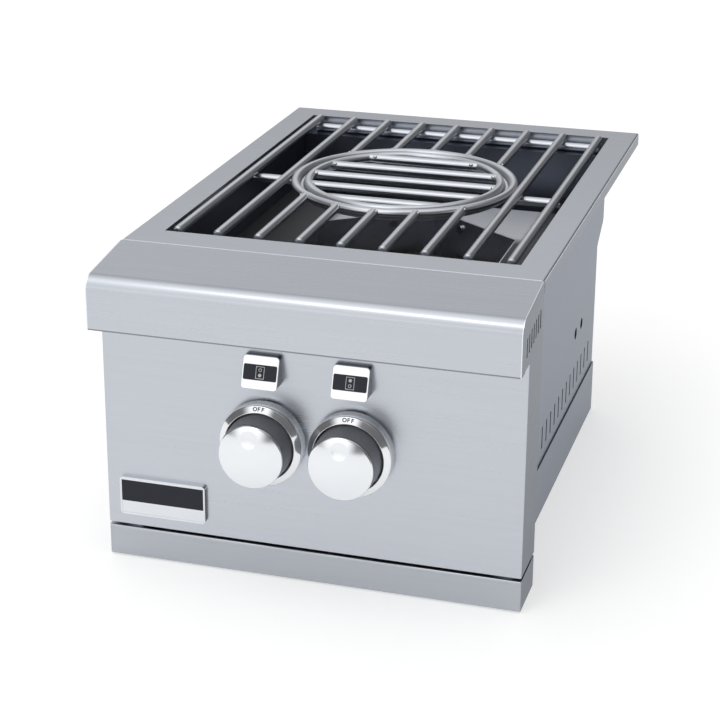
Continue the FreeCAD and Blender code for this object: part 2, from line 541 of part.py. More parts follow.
# Burners: a cast bowl on a hollow neck, a brass ring of ports and a cap, fed by a bent mixing tube
tubes, bowls, crowns, neck_screws = [], [], [], []
for name, sign in SIDES:
    y = BURNER_Y[name]
    bowl = turned("bowl_" + name, "XZ_Plane", [
        ("neck_screw + seam", "rail_top + seam"), ("neck_r", "rail_top + seam"), ("neck_r", "bowl_base"),
        ("bowl_r", "bowl_flare"), ("bowl_r", "bowl_rim"), ("bowl_r - bowl_wall", "bowl_rim"),
        ("bowl_r - bowl_wall", "bowl_flare + bowl_wall"), ("neck_r - bowl_wall", "bowl_base + bowl_wall"),
        ("neck_r - bowl_wall", "rail_top + 2*bowl_wall"), ("neck_screw + seam", "rail_top + 2*bowl_wall")])
    move(bowl, "0", y)
    x = "%d*knob_x" % sign
    route = gas_route(name, sign)
    tube = bent("mixer_outer_" + name, "mixer_r", route, "mixer_bend")
    bore = bent("mixer_bore_" + name, "mixer_r - mixer_wall", route, "mixer_bend")
    neck = rod("mixer_neck_" + name, "neck_r + seam", "z", ("rail_top", "bowl_flare"), ("0", y))
    window = box("mixer_window_" + name, around(x, "2*mixer_r"), ("window_front", "window_rear"),
                 around("knob_z", "window_half"))
    tubes.append(cut("mixer_cut_" + name, tube, [bore, neck, window]))
    inlet = bent("bowl_inlet_" + name, "mixer_r - mixer_wall", route, "mixer_bend")
    bowls.append(cut("bowl_cut_" + name, bowl, [inlet]))

    crown = turned("crown_" + name, "XZ_Plane", [
        ("head_r - head_wall", "bowl_rim + seam"), ("head_r", "bowl_rim + seam"),
        ("head_r", "bowl_rim + head_tall"), ("head_r - head_wall", "bowl_rim + head_tall")])
    port = sketch(crown, "XZ_Plane", "0", [
        ("-port_wide/2", "bowl_rim + port_low"), ("port_wide/2", "bowl_rim + port_low"),
        ("port_wide/2", "bowl_rim + port_low + port_tall"), ("-port_wide/2", "bowl_rim + port_low + port_tall")])
    slot = crown.newObject("PartDesign::Pocket", "port_" + name)
    slot.Profile = port
    slot.setExpression("Length", link("2*head_r"))
    slot.Reversed = True
    doc.recompute()
    wheel = crown.newObject("PartDesign::PolarPattern", "ports_" + name)
    wheel.Originals = [slot]
    wheel.Axis = (port, ["V_Axis"])
    wheel.Angle = 360
    wheel.Occurrences = PORTS
    crown.Tip = wheel
    crowns.append(move(crown, "0", y))

    lid = turned("lid_" + name, "XZ_Plane", [
        ("0", "bowl_rim + head_tall"), ("spigot_r - bowl_wall", "bowl_rim + head_tall"),
        ("spigot_r - bowl_wall", "bowl_rim + head_tall - spigot_tall"),
        ("spigot_r", "bowl_rim + head_tall - spigot_tall"), ("spigot_r", "bowl_rim + head_tall + play"),
        ("cap_r", "bowl_rim + head_tall + play"), ("cap_r", "bowl_rim + head_tall + cap_tall - cap_edge"),
        ("cap_r - 2*cap_edge", "bowl_rim + head_tall + cap_tall"),
        ("0", "bowl_rim + head_tall + cap_tall + cap_edge/2")])
    move(lid, "0", y)
    node(lid, "burner_cap_" + name)

    shank = rod("neck_screw_shank_" + name, "neck_screw", "z",
                ("rail_top - wall - seam", "rail_top - wall + neck_screw_long"), ("0", y))
    head = rod("neck_screw_head_" + name, "neck_screw_head", "z",
               ("rail_top - wall - seam - neck_screw_tall", "rail_top - wall - seam"), ("0", y))
    neck_screws.append(join("neck_screw_" + name, [shank, head]))
node(group("mixing_tubes", tubes), "mixing_tubes")
node(group("burner_bowls", bowls), "burner_bowls")
node(group("burner_rings", crowns), "burner_rings")
node(group("burner_screws", neck_screws), "burner_screws")

# Gas train: round manifold with a plug, an elbow, the supply pipe and the threaded inlet behind the box
GAS = ("manifold_y", "pipe_z")
outer = rod("manifold_outer", "pipe_r", "x", ("manifold_left", "pipe_x - elbow_r - elbow_long"), GAS)
inner = rod("manifold_bore", "pipe_r - pipe_wall", "x", ("manifold_left - skin", "pipe_x"), GAS)
taps = [rod("manifold_tap_" + name, "pipe_r/3", "z", ("pipe_z", "pipe_z + 2*pipe_r"),
            ("%d*knob_x" % sign, "manifold_y")) for name, sign in SIDES]
node(cut("manifold_cut", outer, [inner] + taps), "gas_manifold")
outer = rod("plug_outer", "plug_r", "x", ("manifold_left - plug_long/3", "manifold_left + 2*plug_long/3"), GAS)
inner = rod("plug_bore", "pipe_r + seam", "x", ("manifold_left - seam", "manifold_left + plug_long"), GAS)
node(cut("plug_cut", outer, [inner]), "manifold_plug")
corner = [("pipe_x - elbow_r - elbow_long - 5", "manifold_y", "pipe_z"), ("pipe_x", "manifold_y", "pipe_z"),
          ("pipe_x", "manifold_y + elbow_r + elbow_long + 5", "pipe_z")]
elbow = bent("elbow_outer", "elbow_r", corner, "elbow_r + 2")
elbow_bore = bent("elbow_bore", "pipe_r - pipe_wall", corner, "elbow_r + 2")
sockets = [rod("elbow_socket_x", "pipe_r + seam", "x",
               ("pipe_x - elbow_r - elbow_long - 10", "pipe_x - elbow_r - elbow_long + seam"), GAS),
           rod("elbow_socket_y", "pipe_r + seam", "y", ("manifold_y + elbow_r + elbow_long - seam",
               "manifold_y + elbow_r + elbow_long + 10"), ("pipe_x", "pipe_z"))]
node(cut("elbow_cut", elbow, [elbow_bore] + sockets), "gas_elbow")
SUPPLY = ("manifold_y + elbow_r + elbow_long", "wall_low_rear + seam + inlet_hex_long/2")
outer = rod("supply_outer", "pipe_r", "y", SUPPLY, ("pipe_x", "pipe_z"))
inner = rod("supply_bore", "pipe_r - pipe_wall", "y", ("manifold_y", "trim_rear"), ("pipe_x", "pipe_z"))
node(cut("supply_cut", outer, [inner]), "supply_pipe")
INLET_Y = "wall_low_rear + seam"
hexagon_nut = doc.addObject("Part::Prism", "inlet_hex")
hexagon_nut.Polygon = 6
hexagon_nut.setExpression("Circumradius", link("inlet_hex"))
hexagon_nut.setExpression("Height", link("inlet_hex_long"))
hexagon_nut.Placement.Rotation = TURNS["y"]
move(hexagon_nut, "pipe_x", INLET_Y, "pipe_z")
stub = rod("inlet_stub", "inlet_r", "y", (INLET_Y + " + inlet_hex_long", INLET_Y + " + inlet_hex_long + inlet_long"),
           ("pipe_x", "pipe_z"))
bore = rod("inlet_through", "inlet_bore", "y", (INLET_Y, INLET_Y + " + 2*(inlet_hex_long + inlet_long)"),
           ("pipe_x", "pipe_z"))
seat = rod("inlet_seat", "pipe_r + seam", "y", (INLET_Y + " - skin", INLET_Y + " + inlet_hex_long/2 + seam"),
           ("pipe_x", "pipe_z"))
node(cut("inlet_cut", join("inlet_body", [hexagon_nut, stub]), [bore, seat]), "gas_inlet")

# Valves: the body with its flange on the back of the panel, the plug that turns and the gas orifice
spuds = []
for name, sign in SIDES:
    x = "%d*knob_x" % sign
    FLANGE = ("panel_y + skin + seam", "panel_y + skin + seam + valve_flange")
    barrel = rod("valve_barrel_" + name, "valve_r", "y", (FLANGE[0], "valve_rear"), (x, "knob_z"))
    flange = box("valve_flange_" + name, around(x, "valve_flange_half"), FLANGE, around("knob_z", "valve_flange_up"))
    leg = rod("valve_leg_" + name, "tap_r", "z", ("pipe_z", "knob_z"), (x, "manifold_y"))
    chamber = rod("valve_chamber_" + name, "plug_turn_r + turn_fit", "y", ("panel_y", "plug_rear + play"),
                  (x, "knob_z"))
    saddle = rod("valve_saddle_" + name, "pipe_r + turn_fit", "x", even("trim_wide/2"), GAS)
    passage = rod("valve_passage_" + name, "pipe_r/3", "z", ("pipe_z", "knob_z"), (x, "manifold_y"))
    outlet = rod("valve_outlet_" + name, "spud_bore", "y", ("plug_rear", "valve_rear + skin"), (x, "knob_z"))
    fixings = [rod("valve_fixing_%s_%d" % (name, way), "screw_shank + screw_fit", "y",
                   ("panel_y", FLANGE[1] + " + skin"), (x + " + %d*screw_out" % way, "knob_z")) for way in (-1, 1)]
    node(cut("valve_cut_" + name, join("valve_solid_" + name, [barrel, flange, leg]),
             [chamber, saddle, passage, outlet] + fixings), "valve_body_" + name)
    core = rod("valve_core_" + name, "plug_turn_r", "y", ("plug_front", "plug_rear"), (x, "knob_z"))
    socket = rod("valve_socket_" + name, "stem_r + stem_fit", "y", ("plug_front - skin", "stem_rear + 2*push"),
                 (x, "knob_z"))
    node(cut("valve_plug_cut_" + name, core, [socket]), "valve_plug_" + name)
    spud = turned("spud_" + name, "XY_Plane", [
        ("spud_bore", "valve_rear"), ("spud_r", "valve_rear"), ("spud_r", "spud_hex_rear"),
        ("spud_tip", "spud_hex_rear + spud_r - spud_tip"), ("spud_tip", "spud_rear"), ("spud_bore", "spud_rear")])
    spuds.append(move(spud, x, "0", "knob_z"))
node(group("gas_orifices", spuds), "gas_orifices")

# Air shutters: a sleeve that turns on the mixing tube's mouth and closes its two windows
for name, sign in SIDES:
    x = "%d*knob_x" % sign
    inside = "mixer_r + shutter_fit"
    cup = turned("shutter_cup_" + name, "XY_Plane", [
        ("shutter_eye", "shutter_front"), (inside + " + shutter_wall", "shutter_front"),
        (inside + " + shutter_wall", "shutter_rear"), (inside, "shutter_rear"),
        (inside, "shutter_front + shutter_wall"), ("shutter_eye", "shutter_front + shutter_wall")])
    move(cup, x, "0", "knob_z")
    window = box("shutter_window_" + name, around(x, "2*mixer_r"), ("window_front", "window_rear"),
                 around("knob_z", "window_half"))
    node(cut("shutter_cut_" + name, cup, [window]), "air_shutter_" + name)

# Bezels: a ring on the panel whose face leans outwards, screwed through the panel into the valve's flange
fixings = []
for name, sign in SIDES:
    x = "%d*knob_x" % sign
    dish = turned("bezel_ring_" + name, "XY_Plane", [
        ("stem_hole", "panel_y"), ("bezel_r", "panel_y"), ("bezel_face_r", "panel_y - bezel_face"),
        ("bezel_dish_r + bezel_rim", "panel_y - bezel_lip"), ("bezel_dish_r", "panel_y - bezel_lip"),
        ("bezel_dish_r", "panel_y - bezel_floor"), ("stem_hole", "panel_y - bezel_floor")])
    move(dish, x, "0", "knob_z")
    sunk = []
    for way in (-1, 1):
        at = (x + " + %d*screw_out" % way, "knob_z")
        tag = "%s_%d" % (name, way)
        parts = []
        for kind, grow in (("fixing_", "0"), ("sink_", "screw_fit")):
            cone = doc.addObject("Part::Cone", kind + "head_" + tag)
            cone.Placement.Rotation = TURNS["y"]
            cone.setExpression("Radius1", link("screw_head + " + grow))
            cone.setExpression("Radius2", link("screw_shank + " + grow))
            cone.setExpression("Height", link("screw_sink"))
            move(cone, at[0], "panel_y - bezel_floor + screw_fit", at[1])
            shank = rod(kind + "shank_" + tag, "screw_shank + " + grow, "y",
                        ("panel_y - bezel_floor + screw_fit", "panel_y + skin + seam + valve_flange"), at)
            mouth = rod(kind + "mouth_" + tag, "screw_head + " + grow, "y",
                        ("panel_y - 2*bezel_floor", "panel_y - bezel_floor + screw_fit"), at)
            parts.append([cone, shank, mouth])
        fixings.append(join("fixing_" + tag, parts[0][:2]))
        sunk.extend(parts[1])
        doc.removeObject(parts[0][2].Name)
    node(cut("bezel_cut_" + name, dish, sunk), "bezel_" + name)
node(group("valve_screws", fixings), "valve_screws")

# Knobs: a textured grip on the stem, closed by a polished cap with a finger dimple
for name, sign in SIDES:
    x = "%d*knob_x" % sign
    grip = turned("grip_" + name, "XY_Plane", [
        ("stem_r + hub_fit", "panel_y - knob_base"), ("hub_r", "panel_y - knob_base"),
        ("hub_r", "panel_y - grip_reach + grip_wall"), ("grip_base_r - grip_wall", "panel_y - grip_reach + grip_wall"),
        ("grip_base_r - grip_wall", "panel_y - knob_base"), ("grip_base_r", "panel_y - knob_base"),
        ("grip_front_r", "panel_y - grip_reach"), ("stem_r + hub_fit", "panel_y - grip_reach")])
    move(grip, x, "0", "knob_z")
    node(grip, "knob_grip_" + name)
    disc = turned("cap_" + name, "XY_Plane", [
        ("0", "panel_y - grip_reach - seam"), ("disc_r", "panel_y - grip_reach - seam"),
        ("disc_r", "panel_y - disc_reach + disc_crown"), ("disc_r - 2*disc_round", "panel_y - disc_reach"),
        ("0", "panel_y - disc_reach")])
    move(disc, x, "0", "knob_z")
    disc = rounded("cap_soft_" + name, disc, "disc_round", lambda e: e.Curve.TypeId == "Part::GeomCircle"
                   and near(e.Curve.Radius, "disc_r") and e.CenterOfMass.y < value("panel_y - grip_reach - 1"))
    dimple = doc.addObject("Part::Sphere", "dimple_" + name)
    dimple.setExpression("Radius", link("dimple_r"))
    move(dimple, x, "panel_y - disc_reach + dimple_deep - dimple_r", "knob_z + dimple_up")
    node(cut("cap_cut_" + name, disc, [dimple]), "knob_cap_" + name)
    node(rod("stem_" + name, "stem_r", "y", ("panel_y - grip_reach", "stem_rear"), (x, "knob_z")), "valve_stem_" + name)

# Position labels: a wedge over each knob whose face leans back, with a dark band let into it
lean = math.degrees(math.atan2(value("label_foot - label_head"), value("label_tall")))
bands = []
for name, sign in SIDES:
    x = "%d*knob_x" % sign
    wedge = prism("label_wedge_" + name, "YZ_Plane", [
        ("panel_y", "label_low"), ("panel_y", "label_low + label_tall"), ("panel_y - label_head", "label_low + label_tall"),
        ("panel_y - label_foot", "label_low")], around(x, "label_half"))
    wedge = rounded("label_soft_" + name, wedge, "label_round",
                    lambda e: not near(max(p.y for p in ends(e)), "panel_y")
                    and abs(ends(e)[0].x - ends(e)[1].x) < 0.01 or runs_along(e, "y"))
    middle = Vector(value(x), value("panel_y - (label_foot + label_head)/2"), value("label_low + label_tall/2"))
    tilt = Rotation(Vector(1, 0, 0), -lean)
    pair = []
    for kind, half, tall, deep in (("recess", "band_half + seam", "band_tall + 2*seam", "band_deep"),
                                   ("band", "band_half", "band_tall", "band_thick")):
        slab = doc.addObject("Part::Box", "label_%s_%s" % (kind, name))
        slab.setExpression("Length", link("2*(%s)" % half))
        slab.setExpression("Width", link("%s + (%s)" % (deep, "label_foot" if kind == "recess" else "0")))
        slab.setExpression("Height", link(tall))
        front = value("label_foot") if kind == "recess" else value("band_thick - band_deep")
        corner = Vector(-value(half), -front, -value(tall) / 2)
        slab.Placement = Placement(middle + tilt.multVec(corner), tilt)
        pair.append(slab)
    node(cut("label_cut_" + name, wedge, pair[:1]), "label_" + name)
    bands.append(pair[1])
node(group("label_bands", bands), "label_bands")

# Badge: a plain plate with a raised rim and a dark field above a light strip
BADGE_X = "-(trim_wide/2 - badge_in - badge_half)"
plate = box("badge_block", around(BADGE_X, "badge_half"), ("panel_y - badge_thick", "panel_y"),
            around("badge_z", "badge_up"))
plate = rounded("badge_soft", plate, "badge_round", lambda e: runs_along(e, "y"))
FIELD_TOP = "badge_z + badge_up - badge_head"
FIELD_X = around(BADGE_X, "badge_half - badge_rim")
recess = box("badge_recess", FIELD_X, ("panel_y - badge_thick - skin", "panel_y - badge_thick + badge_deep"),
             (FIELD_TOP + " - badge_field", FIELD_TOP))
strip = box("badge_strip", FIELD_X, ("panel_y - badge_thick - skin", "panel_y - badge_thick + badge_deep/2"),
            ("badge_z - badge_up + badge_rim", FIELD_TOP + " - badge_field - badge_rim/2"))
node(cut("badge_cut", plate, [recess, strip]), "badge_plate")
node(box("badge_fill", around(BADGE_X, "badge_half - badge_rim - seam"),
         ("panel_y - badge_thick + seam", "panel_y - badge_thick + badge_deep"),
         (FIELD_TOP + " - badge_field + seam", FIELD_TOP + " - seam")), "badge_field")

# Drip tray: a shallow pan behind the fascia's lower strip, on two runners. The strip's face is plain: the studs
# that hold the pan end inside its sheet
block = box("strip_block", even(HALF), ("panel_y", "strip_rear"), ("strip_low", "strip_top"))
block = rounded("strip_bent", block, "strip_round", lambda e: near(min(p.y for p in ends(e)), "panel_y")
                and (runs_along(e, "x") or runs_along(e, "z")))
room = box("strip_room", even(HALF + " - skin"), ("panel_y + skin", "skin"), ("strip_low + skin", "strip_top - skin"))
open_back = box("strip_open", even(HALF + " - skin - strip_return"), ("panel_y + skin + strip_return", "skin"),
                ("0", "strip_top + skin"))
TRAY_AT = [("%d*(tray_half - tray_screw_in)" % sign, "tray_screw_z") for sign in (-1, 1)]
drills = [rod("strip_drill_%d" % i, "box_screw_r + seam", "y", ("panel_y + skin/2 - seam", "panel_y + 2*skin"), at)
          for i, at in enumerate(TRAY_AT)]
node(cut("strip_sheet", block, [room, open_back] + drills), "tray_front")
TRAY_FRONT = "panel_y + skin + seam"
# The pan's floor, walls and slide rims are plates welded along their edges
PAN_Y = (TRAY_FRONT, "tray_rear")
WALL_Z = ("tray_low + wall", "tray_top")
pan = [box("tray_floor", even("tray_half"), PAN_Y, ("tray_low", "tray_low + wall"))]
drills = [rod("tray_drill_%d" % i, "box_screw_r + seam", "y", (TRAY_FRONT + " - skin", TRAY_FRONT + " + 2*skin"), at)
          for i, at in enumerate(TRAY_AT)]
plate = box("tray_front_plate", even("tray_half - wall"), (TRAY_FRONT, TRAY_FRONT + " + wall"), WALL_Z)
pan.append(cut("tray_front_wall", plate, drills))
pan.append(box("tray_rear_wall", even("tray_half - wall"), ("tray_rear - wall", "tray_rear"), WALL_Z))
for sign in (-1, 1):
    pan.append(box("tray_wall_%d" % sign, side(sign, "tray_half - wall", "tray_half"), PAN_Y, WALL_Z))
    pan.append(box("tray_rim_%d" % sign, side(sign, "tray_half", "tray_half + tray_rim"),
                   ("panel_y + skin + strip_return + skin", "tray_rear"), ("tray_top - wall", "tray_top")))
node(group("tray_pan", pan), "drip_tray")
screws = []
for i, at in enumerate(TRAY_AT):
    shank = rod("tray_shank_%d" % i, "box_screw_r", "y", ("panel_y + skin/2", TRAY_FRONT + " + wall + seam"), at)
    head = rod("tray_head_%d" % i, "box_screw_head", "y",
               (TRAY_FRONT + " + wall + seam", TRAY_FRONT + " + wall + seam + box_screw_tall"), at)
    screws.append(join("tray_screw_%d" % i, [shank, head]))
node(group("tray_screws", screws), "tray_screws")
RUNNER = "tray_top - wall - play"
runners = []
for sign in (-1, 1):
    ledge = box("runner_ledge_%d" % sign, side(sign, BOX_IN + " - runner_wide", BOX_IN), (FOOT_Y, "tray_rear"),
                (RUNNER + " - wall", RUNNER))
    web = box("runner_web_%d" % sign, side(sign, BOX_IN + " - wall", BOX_IN), (FOOT_Y, "tray_rear"),
              (RUNNER + " - wall", RUNNER + " + runner_tall"))
    runners.append(join("runner_%d" % sign, [ledge, web]))
node(group("tray_runners", runners), "tray_runners")

# Main grate: round bars from front to back on cross rods, with a ring for the centre grate in the middle
CROSS_Z = BAR_Z + " - 2*bar_r - weld/2"


def bar(label, x, span):
    """One bar from front to back with its ends rounded over."""
    made = rod(label, "bar_r", "y", span, (x, BAR_Z))
    return rounded(label + "_soft", made, "bar_round", lambda e: e.Curve.TypeId == "Part::GeomCircle")


BAR_PITCH = "((opening_wide/2 - bar_inset)/4)"
whole = [bar("bar_%d" % k, "%d*%s" % (k, BAR_PITCH), ("bar_front", "bar_rear")) for k in (-4, -3, 3, 4)]
node(group("grate_long_bars", whole), "grate_long_bars")
RING_AT = ("0", GRATE_Y, BAR_Z)
short = []
for k in (-2, -1, 0, 1, 2):
    reach = "sqrt(ring_r^2 - (%d*%s)^2)" % (k, BAR_PITCH)
    for name, span in (("front", ("bar_front", GRATE_Y + " - " + reach)), ("rear", (GRATE_Y + " + " + reach, "bar_rear"))):
        full = rod("short_%s_%d" % (name, k), "bar_r", "y", span, ("%d*%s" % (k, BAR_PITCH), BAR_Z))
        outer_y = "bar_front" if name == "front" else "bar_rear"
        full = rounded("short_%s_%d_soft" % (name, k), full, "bar_round",
                       lambda e: e.Curve.TypeId == "Part::GeomCircle" and near(e.CenterOfMass.y, outer_y))
        cope = ring("cope_%s_%d" % (name, k), "ring_r", "bar_r + weld", RING_AT)
        short.append(cut("short_cut_%s_%d" % (name, k), full, [cope]))
node(group("grate_short_bars", short), "grate_short_bars")
OUT = "4*%s + cross_over" % BAR_PITCH
cross = [rod("cross_" + name, "bar_r", "x", even(OUT), (y, CROSS_Z)) for name, y in (("front", "cross_front"), ("rear", "cross_rear"))]
cross += [rod("stub_%d" % sign, "bar_r", "x", side(sign, "stub_in", OUT), (GRATE_Y, CROSS_Z)) for sign in (-1, 1)]
node(group("grate_cross_rods", cross), "grate_cross_rods")
node(ring("grate_ring_bar", "ring_r", "bar_r", RING_AT), "grate_ring")
SEAT_DROP = "sqrt((bar_r + seat_tube)^2 - (ring_r - seat_r)^2)"
node(ring("grate_seat_bar", "seat_r", "seat_tube", ("0", GRATE_Y, BAR_Z + " - " + SEAT_DROP)), "grate_seat_ring")

# Centre grate: a ring with welded rods, which lifts out of the main grate for a wok
node(ring("centre_ring_bar", "centre_r", "bar_r", RING_AT), "centre_ring")
rods = []
for k in (-2, -1, 0, 1, 2):
    reach = "sqrt(centre_r^2 - (%d*centre_pitch)^2)" % k
    full = rod("centre_rod_%d" % k, "bar_r", "x", even(reach), (GRATE_Y + " + %d*centre_pitch" % k, BAR_Z))
    cope = ring("centre_cope_%d" % k, "centre_r", "bar_r + weld", RING_AT)
    rods.append(cut("centre_rod_cut_%d" % k, full, [cope]))
node(group("centre_rods", rods), "centre_rods")

# Igniter: a battery box behind the panel, its leads, and a ceramic electrode beside each burner
IGNITER_X = side(-1, "body_half - igniter_in - igniter_wide", "body_half - igniter_in")
case = box("igniter_block", IGNITER_X, ("igniter_front", "firewall_y - seam"), ("igniter_low", "igniter_top"))
case = rounded("igniter_soft", case, "igniter_round", lambda e: runs_along(e, "y"))
battery_nut = rod("igniter_cap", "igniter_nut", "y", ("igniter_front - igniter_nut_long", "igniter_front + skin"),
                  ("-(body_half - igniter_in - igniter_wide/2)", "(igniter_low + igniter_top)/2"))
node(join("igniter_case", [case, battery_nut]), "igniter_box")
ceramics, pins, leads = [], [], []
for name, sign in SIDES:
    at = ("%d*electrode_x" % sign, BURNER_Y[name])
    ceramics.append(cut("electrode_" + name, rod("ceramic_" + name, "ceramic_r", "z", ("ceramic_low", "ceramic_top"), at),
                        [rod("ceramic_bore_" + name, "tip_r + seam/2", "z", ("ceramic_low - skin", "ceramic_top + skin"), at)]))
    pins.append(rod("tip_" + name, "tip_r", "z", ("tip_low", "tip_top"), at))
    foot = box("foot_" + name, around(at[0], "foot_half"), around(at[1], "foot_half"),
               ("rail_top + seam/2", "rail_top + foot_tall + seam/2"))
    pins.append(cut("foot_cut_" + name, foot, [rod("foot_bore_" + name, "ceramic_r + seam/2", "z",
                                                  ("rail_top", "rail_top + 2*foot_tall"), at)]))
    turn = "lead_" + name
    leads.append(bent("wire_" + name, "lead_r", [
        at + ("tip_low - seam",), at + ("lead_z",), (at[0], turn, "lead_z"), (IGNITER_X[1] + " + seam", turn, "lead_z")],
        "lead_bend"))
node(group("electrodes", ceramics), "electrodes")
node(group("electrode_pins", pins), "electrode_pins")
node(group("igniter_leads", leads), "igniter_leads")

# Build, test and write
doc.recompute()
faults = [o.Label for o in doc.Objects if "Invalid" in o.State or "Error" in o.State]
faults += [n.Label for n in nodes if n.Shape.isNull() or not n.Shape.isValid() or not n.Shape.Solids]
if faults:
    raise RuntimeError("these did not build: " + ", ".join(sorted(set(faults))))
os.makedirs("parts", exist_ok=True)
for made in nodes:
    made.Shape.exportStep("parts/%s.step" % made.Label)
    print("%-20s %3d solids %10.1f mm3" % (made.Label, len(made.Shape.Solids), made.Shape.Volume))
print(len(nodes), "nodes")
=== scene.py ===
"""A built-in side burner in brushed steel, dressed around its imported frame. Lengths are in metres."""

import json
import math

import bmesh
import bpy
from mathutils import Matrix, Vector


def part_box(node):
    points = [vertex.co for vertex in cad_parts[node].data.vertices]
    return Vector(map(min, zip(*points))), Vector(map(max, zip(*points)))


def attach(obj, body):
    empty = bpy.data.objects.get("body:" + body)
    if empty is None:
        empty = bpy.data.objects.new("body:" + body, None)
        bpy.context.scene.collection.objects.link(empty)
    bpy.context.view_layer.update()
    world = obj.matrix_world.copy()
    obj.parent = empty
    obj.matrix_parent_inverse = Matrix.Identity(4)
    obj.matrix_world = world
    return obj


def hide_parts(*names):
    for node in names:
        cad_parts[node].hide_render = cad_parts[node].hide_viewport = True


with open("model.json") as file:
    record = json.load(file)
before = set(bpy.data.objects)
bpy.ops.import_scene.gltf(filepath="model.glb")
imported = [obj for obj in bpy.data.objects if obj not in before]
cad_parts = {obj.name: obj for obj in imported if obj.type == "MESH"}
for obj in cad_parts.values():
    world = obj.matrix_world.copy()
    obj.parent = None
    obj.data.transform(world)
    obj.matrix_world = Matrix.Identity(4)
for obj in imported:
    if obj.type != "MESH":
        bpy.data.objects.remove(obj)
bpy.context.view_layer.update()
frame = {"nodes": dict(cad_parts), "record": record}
MM = 0.001
BURNERS = ("front", "rear")


class Value:
    """A shader socket that can be added, subtracted, multiplied and compared."""

    def __init__(self, finish, socket):
        self.finish = finish
        self.socket = socket

    def math(self, operation, first, second=0.0):
        return self.finish.node("ShaderNodeMath", {"operation": operation}, {0: first, 1: second})

    def __add__(self, other):
        return self.math("ADD", self, other)

    def __sub__(self, other):
        return self.math("SUBTRACT", self, other)

    def __rsub__(self, other):
        return self.math("SUBTRACT", other, self)

    def __mul__(self, other):
        return self.math("MULTIPLY", self, other)

    def __gt__(self, other):
        return self.math("GREATER_THAN", self, other)

    def __lt__(self, other):
        return self.math("LESS_THAN", self, other)

    def __abs__(self):
        return self.math("ABSOLUTE", self)

    __radd__ = __add__
    __rmul__ = __mul__


class Finish:
    """A material that is put together node by node."""

    def __init__(self, name):
        self.material = bpy.data.materials.new(name)
        self.material.use_nodes = True
        self.tree = self.material.node_tree
        self.tree.nodes.clear()
        self.place = self.node("ShaderNodeTexCoord", out="Object")

    def node(self, kind, settings=None, inputs=None, out=0):
        """Add a node, set it, give its sockets their values or links, and return one of its outputs."""
        made = self.tree.nodes.new(kind)
        for key, setting in (settings or {}).items():
            if key == "stops":
                set_stops(made.color_ramp.elements, setting)
            else:
                setattr(made, key, setting)
        for key, given in (inputs or {}).items():
            socket = made.inputs[key]
            if isinstance(given, Value):
                self.tree.links.new(given.socket, socket)
            elif socket.type == "RGBA":
                socket.default_value = full_colour(given)
            else:
                socket.default_value = given
        return Value(self, made.outputs[out]) if made.outputs else None

    def axes(self):
        """The object's own x, y and z."""
        return [self.node("ShaderNodeSeparateXYZ", None, {0: self.place}, out=i) for i in range(3)]

    def noise(self, scale, stretch=(1, 1, 1), detail=2.0):
        """Noise from 0 to 1, drawn out along an axis where its stretch is small."""
        spots = self.node("ShaderNodeMapping", None, {"Vector": self.place, "Scale": stretch})
        return self.node("ShaderNodeTexNoise", None, {"Vector": spots, "Scale": scale, "Detail": detail})

    def blend(self, mask, first, second):
        """One colour where the mask is 0 and another where it is 1."""
        return self.node("ShaderNodeMix", {"data_type": "RGBA"}, {0: mask, 6: first, 7: second}, out=2)

    def step(self, along, start, end):
        """A soft step from 0 to 1."""
        return self.node("ShaderNodeMapRange", {"interpolation_type": "SMOOTHSTEP"},
                         {"Value": along, "From Min": start, "From Max": end})

    def bump(self, height, depth, strength):
        """A normal raised by a height that runs from 0 to 1, over a depth in metres."""
        return self.node("ShaderNodeBump", None, {"Height": height, "Distance": depth, "Strength": strength})

    def surface(self, colour, roughness, metallic=1.0, normal=None, edge=1.0):
        """Close the material with one shader. An edge below 1 dulls it where it is seen at a slant."""
        inputs = {"Base Color": colour, "Roughness": roughness, "Metallic": metallic, "Specular Tint": edge}
        if normal is not None:
            inputs["Normal"] = normal
        shader = self.node("ShaderNodeBsdfPrincipled", None, inputs)
        self.node("ShaderNodeOutputMaterial", None, {"Surface": shader})
        return self.material


def set_stops(elements, stops):
    """Give a colour ramp its stops."""
    while len(elements) > 1:
        elements.remove(elements[-1])
    for i, (position, colour) in enumerate(stops):
        element = elements[0] if i == 0 else elements.new(position)
        element.position, element.color = position, full_colour(colour)


def full_colour(colour):
    """A colour with its alpha, from a grey level or three channels."""
    if isinstance(colour, (int, float)):
        colour = (colour, colour, colour)
    return tuple(colour) + (1.0,) * (4 - len(colour))


def shade(colour, factor):
    """A colour made lighter or darker."""
    return tuple(channel * factor for channel in colour)


# Finishes

ALONG_X, ALONG_Y = (0.012, 1, 1), (1, 0.012, 1)
SCRATCHES, THREADS = 1100, 260
BRUSH_CONTRAST, BRUSH_DEPTH = 0.09, 0.03 * MM
# The sides of the sheets take a darker steel colour, which is painted shade
STEEL, SHADED_SIDE_STEEL = (0.53, 0.557, 0.605), (0.218, 0.242, 0.283)

# A face further out than SIDE_FROM is a side, and one nearer the middle than INSIDE_WALLS is inside the box
SIDE_FROM, INSIDE_WALLS = 177.95 * MM, 154.5 * MM


